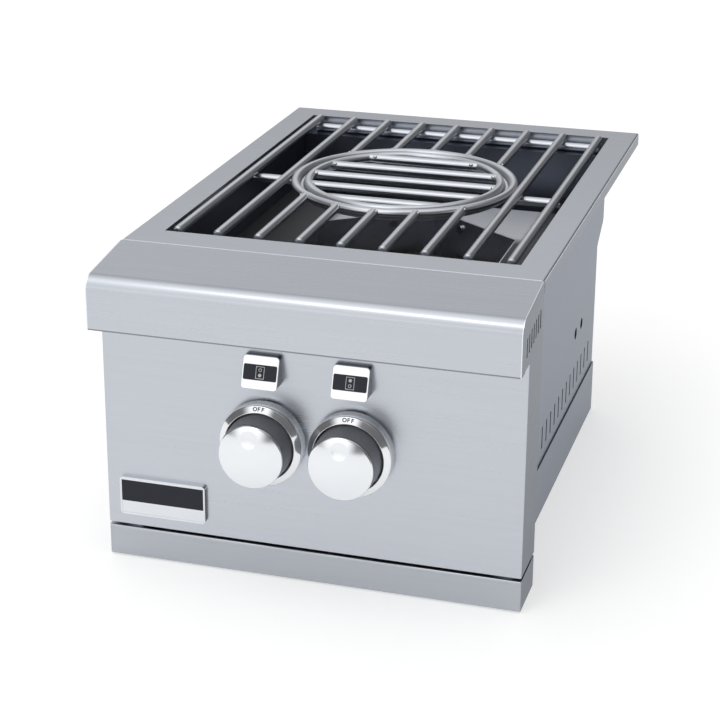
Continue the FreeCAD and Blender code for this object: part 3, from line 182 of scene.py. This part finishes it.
def brushed(name, colour, roughness, shaded_side_colour=None, marks=()):
    """Brushed sheet: fine scratches along it, a faint mottle, and sides brushed another way and coloured
    darker as painted shade.

    Each mark is an area, and how light it is beside the rest, as a painted highlight or painted shade.
    """
    finish = Finish(name)
    x, y, z = finish.axes()
    scratches = finish.noise(SCRATCHES, ALONG_X, 3.0)
    threads = finish.noise(THREADS, ALONG_X)
    if shaded_side_colour is not None:
        on_side = abs(x) > SIDE_FROM
        scratches = scratches * (1 - on_side) + finish.noise(SCRATCHES, ALONG_Y, 3.0) * on_side
        threads = threads * (1 - on_side) + finish.noise(THREADS, ALONG_Y) * on_side
    lines = scratches * 0.6 + threads * 0.4
    mottle = finish.noise(9)
    tone = finish.blend(lines, shade(colour, 1 - BRUSH_CONTRAST), shade(colour, 1 + BRUSH_CONTRAST))
    tone = finish.blend(mottle * 0.35, tone, shade(colour, 0.93))
    if shaded_side_colour is not None:
        shaded_side_tone = finish.blend(lines, shade(shaded_side_colour, 1 - BRUSH_CONTRAST),
                                 shade(shaded_side_colour, 1 + BRUSH_CONTRAST))
        tone = finish.blend(on_side, tone, shaded_side_tone)
    for area, lightness in marks:
        tone = finish.blend(area(x, y, z), tone, shade(colour, lightness))
    gloss = roughness - 0.05 + lines * 0.08 + mottle * 0.03
    return finish.surface(tone, gloss, 1.0, finish.bump(lines, BRUSH_DEPTH, 0.35), 0.7)


def box_sheet(name, colour, roughness, inside_colour):
    """Sheet of the burner box: plain outside, and a mottled colour of its own inside."""
    finish = Finish(name)
    inside = abs(finish.axes()[0]) < INSIDE_WALLS
    threads = finish.noise(700, ALONG_Y, 3.0)
    mottle = finish.noise(11, detail=3.0)
    outer = finish.blend(threads, shade(colour, 0.94), shade(colour, 1.06))
    inner = finish.blend(mottle, shade(inside_colour, 0.8), shade(inside_colour, 1.25))
    gloss = roughness + threads * 0.06 + inside * 0.02
    return finish.surface(finish.blend(inside, outer, inner), gloss, 1.0,
                          finish.bump(threads, BRUSH_DEPTH, 0.3), 0.7)


def drawn(name, colour, roughness):
    """Round bar and turned pieces: a soft change of tone and a faint haze."""
    finish = Finish(name)
    mottle = finish.noise(60, detail=3.0)
    haze = finish.noise(420)
    tone = finish.blend(mottle, shade(colour, 0.94), shade(colour, 1.05))
    return finish.surface(tone, roughness - 0.03 + mottle * 0.04 + haze * 0.03, 1.0,
                          finish.bump(haze, 0.01 * MM, 0.15))


def polished(name, colour, roughness):
    """Polished metal with the faintest haze."""
    finish = Finish(name)
    haze = finish.noise(40, detail=3.0)
    tone = finish.blend(haze, shade(colour, 0.97), shade(colour, 1.02))
    return finish.surface(tone, roughness + haze * 0.04)


def cast(name, colour, roughness, metallic, pebbles=700, depth=0.25 * MM):
    """A cast, painted or moulded surface with a fine pebble."""
    finish = Finish(name)
    pebble = finish.noise(pebbles, detail=3.0)
    patches = finish.noise(30, detail=3.0)
    tone = finish.blend(patches, shade(colour, 0.85), shade(colour, 1.2))
    return finish.surface(tone, roughness - 0.04 + patches * 0.08, metallic, finish.bump(pebble, depth, 0.6))


def textured_grip(name, colour):
    """The knob's grip: a dark moulding with a fine leathery grain."""
    finish = Finish(name)
    grains = finish.node("ShaderNodeTexVoronoi", None, {"Vector": finish.place, "Scale": 1500.0},
                         out="Distance")
    patches = finish.noise(120)
    tone = finish.blend(grains, shade(colour, 1.35), shade(colour, 0.75))
    return finish.surface(tone, 0.44 + patches * 0.1, 0.6, finish.bump(grains, 0.4 * MM, 0.9))


def plated(name, blackened):
    """Bright plating with a dark area painted on, which is painted shade."""
    finish = Finish(name)
    mask = blackened(*finish.axes())
    haze = finish.noise(40, detail=3.0)
    bright = finish.blend(haze, (0.69, 0.71, 0.74), (0.73, 0.75, 0.78))
    tone = finish.blend(mask, bright, (0.10, 0.105, 0.12))
    return finish.surface(tone, 0.08 + haze * 0.04 + mask * 0.2)


FINISHES = {
    # Satin steel's sides take the darker side colour, which is painted shade
    "satin_steel": brushed("satin steel", STEEL, 0.28, SHADED_SIDE_STEEL),
    # Box steel outside is a duller sheet than the front, made darker still as painted shade on the side
    # walls
    "box_steel": box_sheet("box steel", (0.308, 0.342, 0.405), 0.32, (0.20, 0.22, 0.27)),
    "shield_steel": box_sheet("shield steel", (0.74, 0.78, 0.86), 0.24, (0.74, 0.78, 0.86)),
    "rail_steel": brushed("rail steel", (0.42, 0.42, 0.43), 0.36),
    "screw_steel": drawn("screw steel", (0.55, 0.56, 0.58), 0.25),
    "grate_steel": drawn("grate steel", (0.56, 0.58, 0.62), 0.28),
    "cast_iron": cast("cast iron", (0.035, 0.035, 0.037), 0.62, 0.3),
    "brass": drawn("brass", (0.66, 0.46, 0.18), 0.30),
    "valve_casting": cast("valve casting", (0.52, 0.52, 0.53), 0.45, 0.9),
    "gas_pipe": cast("gas pipe", (0.03, 0.03, 0.032), 0.42, 0.2, 400),
    "pipe_fitting": cast("pipe fitting", (0.04, 0.04, 0.042), 0.55, 0.3),
    "polished": polished("polished metal", (0.80, 0.81, 0.83), 0.07),
    "grip": textured_grip("grip", (0.27, 0.28, 0.305)),
    "dark_field": polished("dark field", (0.035, 0.037, 0.045), 0.3),
    "igniter_plastic": cast("igniter plastic", (0.025, 0.025, 0.027), 0.5, 0.0),
    "ceramic": cast("ceramic", (0.80, 0.78, 0.73), 0.22, 0.0, 200, 0.05 * MM),
    "lead_rubber": cast("lead sleeve", (0.35, 0.06, 0.035), 0.5, 0.0, 300),
}
SATIN_CHROME = polished("satin chrome", (0.80, 0.82, 0.845), 0.13)
BLACKENED = polished("blackened plating", (0.09, 0.095, 0.11), 0.26)
INK = cast("ink", (0.012, 0.012, 0.014), 0.4, 0.0, 900, 0.02 * MM)
WHITE_PRINT = cast("white print", (0.82, 0.83, 0.84), 0.45, 0.0, 900, 0.02 * MM)
WELD = drawn("weld", (0.70, 0.71, 0.73), 0.24)


# Areas that are 1 where a finish is painted lighter or darker than the rest, as painted highlight or painted
# shade, and 0 elsewhere

EDGE_HIGHLIGHT_WIDE = 0.7 * MM
BRIGHT_PATCH_FROM, BRIGHT_PATCH_HALF, BRIGHT_PATCH_MIDDLE = (262 * MM, 286 * MM), (88 * MM, 102 * MM), 10 * MM


def edge_below(node, reach):
    """The lowest part of a node, over a reach in metres."""
    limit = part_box(node)[0].z + reach
    return lambda x, y, z: z < limit


def edge_before(node, reach):
    """The foremost part of a node, over a reach in metres."""
    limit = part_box(node)[0].y + reach
    return lambda x, y, z: y < limit


def painted_edge_highlight(x, y, z):
    """A thin painted highlight along the sides of the nose and the trim, where their rounded edges would
    catch the light.
    """
    return (abs(x) > SIDE_FROM - EDGE_HIGHLIGHT_WIDE) * (abs(x) < SIDE_FROM)


def deck_painted_shade(x, y, z):
    """The deck painted dark as painted shade and painted dark reflection: all but a patch at its rear, whose
    edges are soft.
    """
    step = x.finish.step
    return 1 - step(y, *BRIGHT_PATCH_FROM) * (1 - step(abs(x - BRIGHT_PATCH_MIDDLE), *BRIGHT_PATCH_HALF))


def badge_painted_shade(x, y, z):
    """The right side of the badge, painted dark as painted shade."""
    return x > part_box("badge_plate")[1].x - 0.1 * MM


# Nodes whose finish departs from the rest of their slot

OWN_FINISHES = {
    # The nose's lowest 1.2 mm is a painted shadow line along its lower edge; its sides take painted shade
    # with a painted highlight at their edge
    "bullnose": brushed("nose steel", STEEL, 0.26, SHADED_SIDE_STEEL,
                        ((edge_below("bullnose", 1.2 * MM), 0.45), (painted_edge_highlight, 1.5))),
    # The trim is a lighter copy of the steel, painted light; its front 2 mm along the fold is a painted
    # highlight, and its sides take painted shade with a painted highlight at their edge
    "top_trim": brushed("trim steel", shade(STEEL, 1.07), 0.28, shade(SHADED_SIDE_STEEL, 1.2),
                        ((edge_before("top_trim", 2.0 * MM), 1.55), (painted_edge_highlight, 1.5))),
    # The strip is a darker copy of the steel: painted shade, for the darker floor it reflects near the
    # object
    "tray_front": brushed("strip steel", shade(STEEL, 0.84), 0.28, shade(SHADED_SIDE_STEEL, 1.05)),
    # The deck is painted dark all but a patch at its rear: painted shade and painted dark reflection inside
    # the box
    "burner_deck": brushed("deck steel", (0.90, 0.92, 0.97), 0.50, marks=((deck_painted_shade, 0.16),)),
    "badge_plate": plated("badge plating", badge_painted_shade),
}
for part in frame["record"]["subparts"]:
    mesh = frame["nodes"][part["node"]].data
    mesh.materials.clear()
    mesh.materials.append(OWN_FINISHES.get(part["node"], FINISHES[part["material_slot"]]))


def piece(name, bm, finish, body, smooth=True):
    """Turn a bmesh into a piece of the part that rides on a body."""
    bmesh.ops.recalc_face_normals(bm, faces=bm.faces)
    mesh = bpy.data.meshes.new(name)
    bm.to_mesh(mesh)
    bm.free()
    for face in mesh.polygons:
        face.use_smooth = smooth
    mesh.materials.append(finish)
    made = bpy.data.objects.new(name, mesh)
    bpy.context.scene.collection.objects.link(made)
    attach(made, body)
    return made


def join(target, source):
    """Add one bmesh to another."""
    mesh = bpy.data.meshes.new("joined")
    source.to_mesh(mesh)
    source.free()
    target.from_mesh(mesh)
    bpy.data.meshes.remove(mesh)


def front_middle(low, high):
    """The middle of a box as seen from the front, at y = 0."""
    return Vector(((low.x + high.x) / 2, 0, (low.z + high.z) / 2))


# Weld beads where the grates' bars meet their rings

LONG_BARS, CENTRE_RODS = 9, 5
BEAD_WIDE, BEAD_LONG = 1.6 * MM, 2.2 * MM
BEAD_APART, BEAD_UP = 0.75, 0.45


def weld_beads(name, body, along, pitch, radius):
    """A bead at either side of each end of five bars that run along an axis and end at a radius."""
    across = Vector((along.y, along.x, 0))
    size = Vector((BEAD_WIDE,) * 3) + along * (BEAD_LONG - BEAD_WIDE)
    bm = bmesh.new()
    for k in range(-2, 3):
        reach = math.sqrt(radius ** 2 - (k * pitch) ** 2)
        for end in (-reach, reach):
            for apart in (-BEAD_APART, BEAD_APART):
                at = (grate_middle + across * (k * pitch + apart * bar_r) + along * end
                      + Vector((0, 0, BEAD_UP * bar_r)))
                bead = bmesh.ops.create_icosphere(bm, subdivisions=2, radius=1.0)["verts"]
                bmesh.ops.scale(bm, vec=size, verts=bead)
                bmesh.ops.translate(bm, vec=at, verts=bead)
    piece(name, bm, WELD, body)


low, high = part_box("grate_ring")
grate_middle = (low + high) / 2
bar_r = (high.z - low.z) / 2
ring_outer = (high.x - low.x) / 2
low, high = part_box("grate_long_bars")
bar_pitch = (high.x - low.x - 2 * bar_r) / (LONG_BARS - 1)
low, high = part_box("centre_ring")
centre_inner = (high.x - low.x) / 2 - 2 * bar_r
low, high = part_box("centre_rods")
rod_pitch = (high.y - low.y - 2 * bar_r) / (CENTRE_RODS - 1)
weld_beads("ring_weld_beads", "main_grate", Vector((0, 1, 0)), bar_pitch, ring_outer)
weld_beads("centre_weld_beads", "centre_grate", Vector((1, 0, 0)), rod_pitch, centre_inner)


# Bezels: a sloping face around the dish, with the word OFF at its top

BORE_R, RIM_R, RIM_STEP = 9.6 * MM, 34.9 * MM, 3.3 * MM
FACE_R, FACE_WIDE, FACE_DEEP, FACE_BACK = 34.5 * MM, 4.0 * MM, 2.45 * MM, 0.35 * MM
FACE_LONG = math.hypot(FACE_WIDE, FACE_DEEP)
LIP_R, DISH_R, FLOOR_R, FLOOR_THICK = 29.8 * MM, 29.4 * MM, 28.4 * MM, 3.0 * MM
LETTER_SIZE, LETTER_BOLD, LETTER_THICK, LETTER_OUT = 4.6 * MM, 0.13 * MM, 0.04 * MM, 0.10 * MM
LETTERS_R, LETTER_TURN = 32.4 * MM, math.radians(5.8)


def lettering(letter):
    """A flat, bold letter as a mesh around the origin."""
    curve = bpy.data.curves.new("off_letter", "FONT")
    curve.body = letter
    curve.size = LETTER_SIZE
    curve.align_x = "CENTER"
    curve.align_y = "CENTER"
    curve.extrude = LETTER_THICK
    curve.offset = LETTER_BOLD
    holder = bpy.data.objects.new("off_letter", curve)
    bpy.context.scene.collection.objects.link(holder)
    bpy.context.view_layer.update()
    flat = bpy.data.meshes.new_from_object(holder.evaluated_get(bpy.context.evaluated_depsgraph_get()))
    bpy.data.objects.remove(holder)
    bm = bmesh.new()
    bm.from_mesh(flat)
    bpy.data.meshes.remove(flat)
    bmesh.ops.remove_doubles(bm, verts=bm.verts, dist=1e-7)
    return bm


def turned(profile, hub, steps=128):
    """A profile of (radius, y) turned about a line through the hub that runs front to back."""
    bm = bmesh.new()
    verts = [bm.verts.new((0, y, radius)) for radius, y in profile]
    edges = [bm.edges.new(pair) for pair in zip(verts, verts[1:])]
    bmesh.ops.spin(bm, geom=verts + edges, cent=(0, 0, 0), axis=(0, 1, 0), dvec=(0, 0, 0),
                   angle=math.tau, steps=steps, use_merge=True, use_duplicate=False)
    bmesh.ops.remove_doubles(bm, verts=bm.verts, dist=1e-6)
    bmesh.ops.translate(bm, vec=hub, verts=bm.verts)
    return bm


def face_point(front, along, out=0.0):
    """Radius and y of a point on a bezel's sloping face, from its outer edge at 0 to its lip at 1."""
    return (FACE_R - FACE_WIDE * along + out * FACE_DEEP / FACE_LONG,
            front + FACE_BACK + FACE_DEEP * (1 - along) - out * FACE_WIDE / FACE_LONG)


for side in BURNERS:
    low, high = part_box("bezel_" + side)
    hub = front_middle(low, high)
    rim = [(BORE_R, high.y), (RIM_R, high.y), (RIM_R, low.y + RIM_STEP + 0.7 * MM),
           (RIM_R, low.y + RIM_STEP), (RIM_R - 0.15 * MM, low.y + RIM_STEP - 0.3 * MM)]
    slope = [face_point(low.y, along) for along in (0, 0.08, 0.5, 0.92, 1)]
    lip = [(LIP_R + 0.3 * MM, low.y + 0.12 * MM), (LIP_R, low.y), (DISH_R, low.y + 0.3 * MM)]
    dish = [(DISH_R, high.y - FLOOR_THICK - 1.0 * MM), (FLOOR_R, high.y - FLOOR_THICK),
            (BORE_R, high.y - FLOOR_THICK), (BORE_R, high.y)]
    ring = piece("bezel_ring_" + side, turned(rim + slope + lip + dish, hub), FINISHES["polished"],
                 "housing")
    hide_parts("bezel_" + side)
    marks = bmesh.new()
    for i, letter in enumerate("OFF"):
        shape = lettering(letter)
        bmesh.ops.triangulate(shape, faces=shape.faces)
        bmesh.ops.subdivide_edges(shape, edges=shape.edges, cuts=3, use_grid_fill=True)
        for vert in shape.verts:
            across, up, out = vert.co
            radius, y = face_point(low.y, 0.5 - up / FACE_LONG, out + LETTER_OUT)
            around = (i - 1) * LETTER_TURN + across / LETTERS_R
            vert.co = hub + Vector((radius * math.sin(around), y, radius * math.cos(around)))
        join(marks, shape)
    piece(side + "_off_mark", marks, INK, "housing", smooth=False)


# Knob caps: a dome with a soft round dimple for the fingertip near its top

CAP_CROWN, CAP_ROUND = 5.0 * MM, 1.4 * MM
CAP_RINGS, ROUND_RINGS, CAP_STEPS = 60, 8, 192
DIMPLE_UP, DIMPLE_R, DIMPLE_DEEP, DIMPLE_SHAPE = 15.8 * MM, 7.3 * MM, 0.95 * MM, 1.15
for side in BURNERS:
    low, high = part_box("knob_cap_" + side)
    hub = front_middle(low, high)
    cap_r = (high.x - low.x) / 2
    slant = math.atan(2 * CAP_CROWN / cap_r)
    dome_r = cap_r - CAP_ROUND * (1 - math.sin(slant))
    profile = []
    for i in range(CAP_RINGS + 1):
        radius = dome_r * i / CAP_RINGS
        profile.append((radius, low.y + CAP_CROWN * (radius / cap_r) ** 2))
    round_y = profile[-1][1] + CAP_ROUND * math.cos(slant)
    for i in range(1, ROUND_RINGS + 1):
        turn = slant + (math.pi / 2 - slant) * i / ROUND_RINGS
        profile.append((cap_r - CAP_ROUND * (1 - math.sin(turn)), round_y - CAP_ROUND * math.cos(turn)))
    profile += [(cap_r, high.y), (0, high.y)]
    cap = turned(profile, hub, CAP_STEPS)
    for vert in cap.verts:
        off = math.hypot(vert.co.x - hub.x, vert.co.z - hub.z - DIMPLE_UP) / DIMPLE_R
        if off < 1 and vert.co.y < low.y + CAP_CROWN:
            vert.co.y += DIMPLE_DEEP * (1 - off * off) ** DIMPLE_SHAPE
    disc = piece("knob_disc_" + side, cap, SATIN_CHROME, side + "_knob")
    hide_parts("knob_cap_" + side)


# Labels: a blackened wedge with a bright face, and a dark band across it

low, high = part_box("label_front")
LABEL_LOW, LABEL_FOOT, LABEL_BACK = low.z, low.y, 9 * MM
LABEL_LEAN = LABEL_BACK / (high.z - low.z)
LABEL_CORNER, BAND_CORNER, FACE_THICK = 2.8 * MM, 1.3 * MM, 0.6 * MM
BAND_HALF_WIDE, BAND_HALF_TALL, BAND_OUT, BAND_IN = 14.1 * MM, 6.0 * MM, 0.12 * MM, 0.1 * MM
FACE_BEVEL, FINE_BEVEL = 0.25 * MM, 0.1 * MM


def leaning(offset):
    """The labels' front surface, moved back by an offset."""
    return lambda z: LABEL_FOOT + offset + (z - LABEL_LOW) * LABEL_LEAN


def slab(bm, centre, half_wide, half_tall, corner, front, back, bevel):
    """A block with round corners between two surfaces, whose y depends on z, with a bevelled front edge."""
    block, depth = bmesh.new(), 10 * MM
    bmesh.ops.create_cube(block, size=1, matrix=Matrix.Translation(centre)
                          @ Matrix.Diagonal((2 * half_wide, depth, 2 * half_tall, 1)))
    lengthwise = [edge for edge in block.edges if edge.verts[0].co.y * edge.verts[1].co.y < 0]
    bmesh.ops.bevel(block, geom=lengthwise, offset=corner, segments=6, profile=0.5, affect="EDGES",
                    material=-1)
    front_edge = [edge for edge in block.edges if all(vert.co.y < 0 for vert in edge.verts)]
    bmesh.ops.bevel(block, geom=front_edge, offset=bevel, segments=2, profile=0.5, affect="EDGES",
                    material=-1)
    for vert in block.verts:
        near = vert.co.y < 0
        vert.co.y = front(vert.co.z) + vert.co.y + depth / 2 if near else back(vert.co.z)
    join(bm, block)


bands = bmesh.new()
for side in BURNERS:
    low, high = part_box("label_" + side)
    centre = front_middle(low, high)
    half_wide, half_tall = (high.x - low.x) / 2, (high.z - low.z) / 2
    wedge, face = bmesh.new(), bmesh.new()
    slab(wedge, centre, half_wide, half_tall, LABEL_CORNER, leaning(FACE_THICK), lambda z: high.y,
         FINE_BEVEL)
    slab(face, centre, half_wide, half_tall, LABEL_CORNER, leaning(0), leaning(FACE_THICK), FACE_BEVEL)
    body = piece("label_body_" + side, wedge, BLACKENED, "housing", smooth=False)
    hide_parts("label_" + side)
    piece("label_face_" + side, face, FINISHES["polished"], "housing", smooth=False)
    slab(bands, centre, BAND_HALF_WIDE, BAND_HALF_TALL, BAND_CORNER, leaning(-BAND_OUT), leaning(BAND_IN),
         FINE_BEVEL)
dark_bands = piece("label_dark_bands", bands, FINISHES["dark_field"], "housing", smooth=False)
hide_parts("label_bands")


# A pictogram on each label band: two burners in a frame, with the one that the knob serves filled

FRAME_HALF_WIDE, FRAME_HALF_TALL, FRAME_LINE = 3.6 * MM, 5.0 * MM, 0.45 * MM
BURNER_R, BURNER_HOLE, BURNER_UP, PRINT_OUT = 1.4 * MM, 0.95 * MM, 2.15 * MM, 0.18 * MM


def ring_face(bm, inner, outer, at, segments=32):
    """A flat ring, or a disc where the inner radius is 0."""
    place = Matrix.Translation(at)
    rim = bmesh.ops.create_circle(bm, segments=segments, radius=outer, matrix=place)["verts"]
    edges = list({edge for vert in rim for edge in vert.link_edges})
    if inner:
        hole = bmesh.ops.create_circle(bm, segments=segments, radius=inner, matrix=place)["verts"]
        edges += list({edge for vert in hole for edge in vert.link_edges})
        bmesh.ops.bridge_loops(bm, edges=edges)
    else:
        bmesh.ops.edgeloop_fill(bm, edges=edges)


def frame_face(bm, half_wide, half_tall, line):
    """A flat rectangular frame."""
    loops = []
    for inward in (0, line):
        rim = bmesh.ops.create_circle(bm, segments=4, radius=math.sqrt(2),
                                      matrix=Matrix.Diagonal((half_wide - inward, half_tall - inward, 1, 1))
                                      @ Matrix.Rotation(math.radians(45), 4, "Z"))["verts"]
        loops += list({edge for vert in rim for edge in vert.link_edges})
    bmesh.ops.bridge_loops(bm, edges=loops)


for side in BURNERS:
    low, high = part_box("label_" + side)
    middle = front_middle(low, high)
    middle.y = leaning(-PRINT_OUT)(middle.z)
    place = Matrix.Translation(middle) @ Matrix.Rotation(math.radians(90) - math.atan(LABEL_LEAN), 4, "X")
    marks = bmesh.new()
    frame_face(marks, FRAME_HALF_WIDE, FRAME_HALF_TALL, FRAME_LINE)
    for up, burner in ((BURNER_UP, "rear"), (-BURNER_UP, "front")):
        ring_face(marks, 0 if burner == side else BURNER_HOLE, BURNER_R, (0, up, 0))
    bmesh.ops.transform(marks, matrix=place, verts=marks.verts)
    piece(side + "_pictogram", marks, WHITE_PRINT, "housing", smooth=False)


# Floor, light and camera

FLOOR_PALE, FLOOR_GLOW, FLOOR_HALF, FLOOR_DROP = 0.8, 0.47, 30.0, 0.5 * MM


def floor_finish():
    """A pale floor: plain for the light that it throws back, and white to look at."""
    finish = Finish("floor")
    path = "ShaderNodeLightPath"
    seen = finish.node(path, out="Is Camera Ray") + finish.node(path, out="Is Glossy Ray")
    seen = seen + finish.node(path, out="Is Transmission Ray")
    plain = finish.node("ShaderNodeBsdfDiffuse", None, {"Color": FLOOR_PALE})
    glow = finish.node("ShaderNodeEmission", None, {"Color": 1.0, "Strength": FLOOR_GLOW})
    bright = finish.node("ShaderNodeAddShader", None, {0: plain, 1: glow})
    mixed = finish.node("ShaderNodeMixShader", None, {0: seen, 1: plain, 2: bright})
    finish.node("ShaderNodeOutputMaterial", None, {"Surface": mixed})
    return finish.material


bm = bmesh.new()
bmesh.ops.create_grid(bm, x_segments=1, y_segments=1, size=FLOOR_HALF)
floor_mesh = bpy.data.meshes.new("floor")
bm.to_mesh(floor_mesh)
bm.free()
floor_mesh.materials.append(floor_finish())
floor = bpy.data.objects.new("floor", floor_mesh)
floor.location.z = -FLOOR_DROP
bpy.context.scene.collection.objects.link(floor)


# The room's light by height, from 0, level with the object, to 1, straight above it. Then the directions
# from side to side in which the soft box and the back wall lie and fade, and where front gives way to back
FRONT_LEVELS = ((0.0, 1.05), (0.20, 1.35), (0.45, 1.10), (0.65, 1.30), (0.90, 1.45), (1.0, 1.35))
BACK_LEVELS = ((0.0, 0.35), (0.22, 0.50), (0.27, 0.74), (0.33, 1.12), (0.45, 1.00), (0.60, 0.70),
               (0.80, 0.64), (0.90, 1.00), (1.0, 1.35))
SIDE_LEVELS = ((0.0, 0.20), (0.20, 0.16), (0.45, 0.18), (0.70, 0.30), (0.88, 0.90), (1.0, 1.35))
FRONT_BOX, FRONT_EDGE = -0.30, (0.20, 0.42)
BACK_WALL, BACK_EDGE = -0.36, (0.20, 0.62)
BACK_FROM = (-0.20, 0.20)


class Sky(Finish):
    """The room: a broad soft box in front, a pale ceiling, a back wall that fades, and dim side walls.

    The camera sees it plain white.
    """

    def __init__(self, world):
        world.use_nodes = True
        self.tree = world.node_tree
        self.tree.nodes.clear()
        self.place = self.node("ShaderNodeTexCoord", out="Generated")
        x, y, z = self.axes()
        sides = self.ramp(z, SIDE_LEVELS)
        front = self.blend(self.step(abs(x - FRONT_BOX), *FRONT_EDGE), self.ramp(z, FRONT_LEVELS), sides)
        back = self.blend(self.step(abs(x - BACK_WALL), *BACK_EDGE), self.ramp(z, BACK_LEVELS), sides)
        level = self.blend(self.step(y, *BACK_FROM), front, back)
        level = self.blend(self.node("ShaderNodeLightPath", out="Is Camera Ray"), level, 1.0)
        self.node("ShaderNodeOutputWorld", None,
                  {"Surface": self.node("ShaderNodeBackground", None, {"Color": level, "Strength": 1.0})})

    def ramp(self, height, levels):
        """A level of light that changes with height."""
        return self.node("ShaderNodeValToRGB", {"stops": levels}, {"Fac": height})


bpy.context.scene.world = bpy.data.worlds.new("studio")
Sky(bpy.context.scene.world)


def soft_lamp(name, at, aim, size, power):
    """A soft rectangular light."""
    light = bpy.data.lights.new(name, "AREA")
    light.shape = "RECTANGLE"
    light.size, light.size_y = size
    light.energy = power
    made = bpy.data.objects.new(name, light)
    made.location = at
    made.rotation_euler = (Vector(aim) - Vector(at)).to_track_quat("-Z", "Y").to_euler()
    made.visible_camera = False
    bpy.context.scene.collection.objects.link(made)


soft_lamp("front", (-0.25, -0.75, 1.5), (-0.18, -0.45, 0), (0.7, 0.4), 1.2)

VIEW_TURN, VIEW_RISE, VIEW_ROLL = math.radians(17.27), math.radians(20.39), math.radians(0.04)
EYE = Vector((447.5, -1426.2, 766.9)) * MM
toward_eye = Vector((math.sin(VIEW_TURN) * math.cos(VIEW_RISE), -math.cos(VIEW_TURN) * math.cos(VIEW_RISE),
                     math.sin(VIEW_RISE)))
lens = bpy.data.cameras.new("camera")
lens.lens = 97.85
lens.sensor_width = 36.0
lens.shift_x = 0.0389
lens.shift_y = -0.05
camera = bpy.data.objects.new("camera", lens)
camera.location = EYE
level_view = toward_eye.to_track_quat("Z", "Y").to_matrix()
camera.rotation_euler = (level_view @ Matrix.Rotation(VIEW_ROLL, 3, "Z")).to_euler()
bpy.context.scene.collection.objects.link(camera)
bpy.context.scene.camera = camera

bpy.context.scene.view_settings.view_transform = "Standard"
